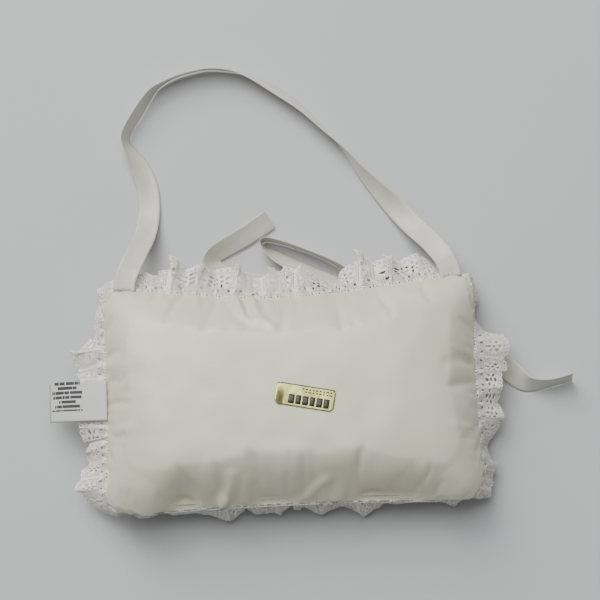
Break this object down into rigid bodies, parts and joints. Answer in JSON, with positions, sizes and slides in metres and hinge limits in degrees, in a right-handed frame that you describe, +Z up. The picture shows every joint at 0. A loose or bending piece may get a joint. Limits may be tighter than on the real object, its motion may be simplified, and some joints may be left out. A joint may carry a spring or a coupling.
{
  "type": "ring bearer pillow",
  "caption": "Small rectangular satin pillow lying face down, with a gathered lace ruffle in its seam, a hanging ribbon, a ribbon bow on the front, a folded cloth tag and a foil label.",
  "frame": {"origin": "middle of the flat patch of the front panel that the pillow lies on", "axes": "+X along the pillow's long side, +Y towards the side with the hanging ribbon, +Z up, out of the back panel"},
  "size_m": [0.2302, 0.2109, 0.0426],
  "materials": {
    "back_satin": "satin weave, warm ivory, soft sheen",
    "front_satin": "satin weave, ivory, soft sheen",
    "polyester_fibre": "loose white fibre",
    "lace": "knitted lace with flower eyelets",
    "satin_ribbon": "single-face satin ribbon, ivory",
    "sewing_thread": "matte twisted thread",
    "tag_cloth": "coated white tape",
    "gold_foil": "thin pale gold foil, glossy"
  },
  "bodies": {
    "pillow": {"back_panel": "back_satin", "front_panel": "front_satin", "fibre_filling": "polyester_fibre", "lace_ruffle": "lace", "lace_gathering_thread": "sewing_thread", "seam_thread": "sewing_thread", "closing_stitches": "sewing_thread", "ribbon_tack_left": "sewing_thread", "ribbon_tack_right": "sewing_thread", "bow_knot": "satin_ribbon", "bow_loop_left": "satin_ribbon", "bow_loop_right": "satin_ribbon", "bow_tail_short": "satin_ribbon", "bow_tail_long": "satin_ribbon", "bow_tack_thread": "sewing_thread", "foil_label": "gold_foil"},
    "hanging_loop": {"hanging_ribbon": "satin_ribbon"},
    "tag": {"content_tag": "tag_cloth"}
  },
  "joints": [
    {"name": "hanging_loop_swing", "type": "hinge", "parent": "pillow", "child": "hanging_loop", "pos_m": [0, 0.05224, 0.0194], "axis": [1, 0, 0], "range_deg": [0, 115]},
    {"name": "tag_flip", "type": "hinge", "parent": "pillow", "child": "tag", "pos_m": [-0.0822, 0.001, 0.01945], "axis": [0, 1, 0], "range_deg": [0, 115]}
  ]
}
